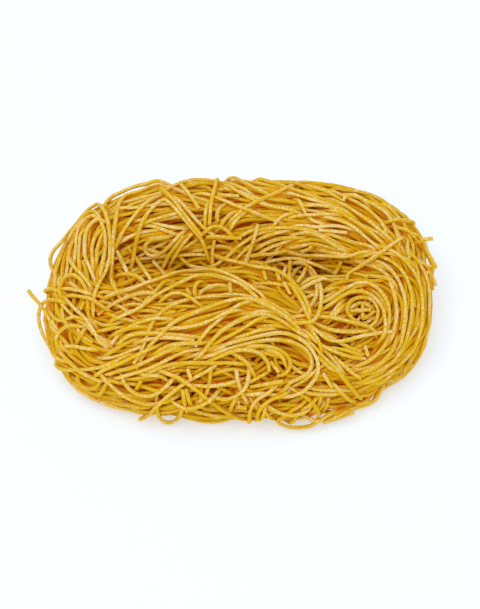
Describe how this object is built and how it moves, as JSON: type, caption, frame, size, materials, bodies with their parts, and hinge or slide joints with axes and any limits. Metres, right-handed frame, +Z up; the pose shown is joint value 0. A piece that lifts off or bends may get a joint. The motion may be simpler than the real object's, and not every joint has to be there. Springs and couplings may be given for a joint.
{
  "type": "dry pasta nest",
  "caption": "Dry egg pasta folded into one flat-bottomed oval nest of thin square-cut noodles, higher at the back, for a pantry or kitchen scene.",
  "frame": {"origin": "under the middle of the nest, on the surface that it stands on", "axes": "+X along the nest's length, towards its tightly coiled end; +Y to its higher back; +Z up"},
  "size_m": [0.1801, 0.1168, 0.0412],
  "materials": {
    "dry_pasta": "dry, rough-rolled egg pasta, matte golden yellow, dusted with pale flour"
  },
  "bodies": {
    "root": {"pasta_nest": "dry_pasta"}
  },
  "joints": []
}
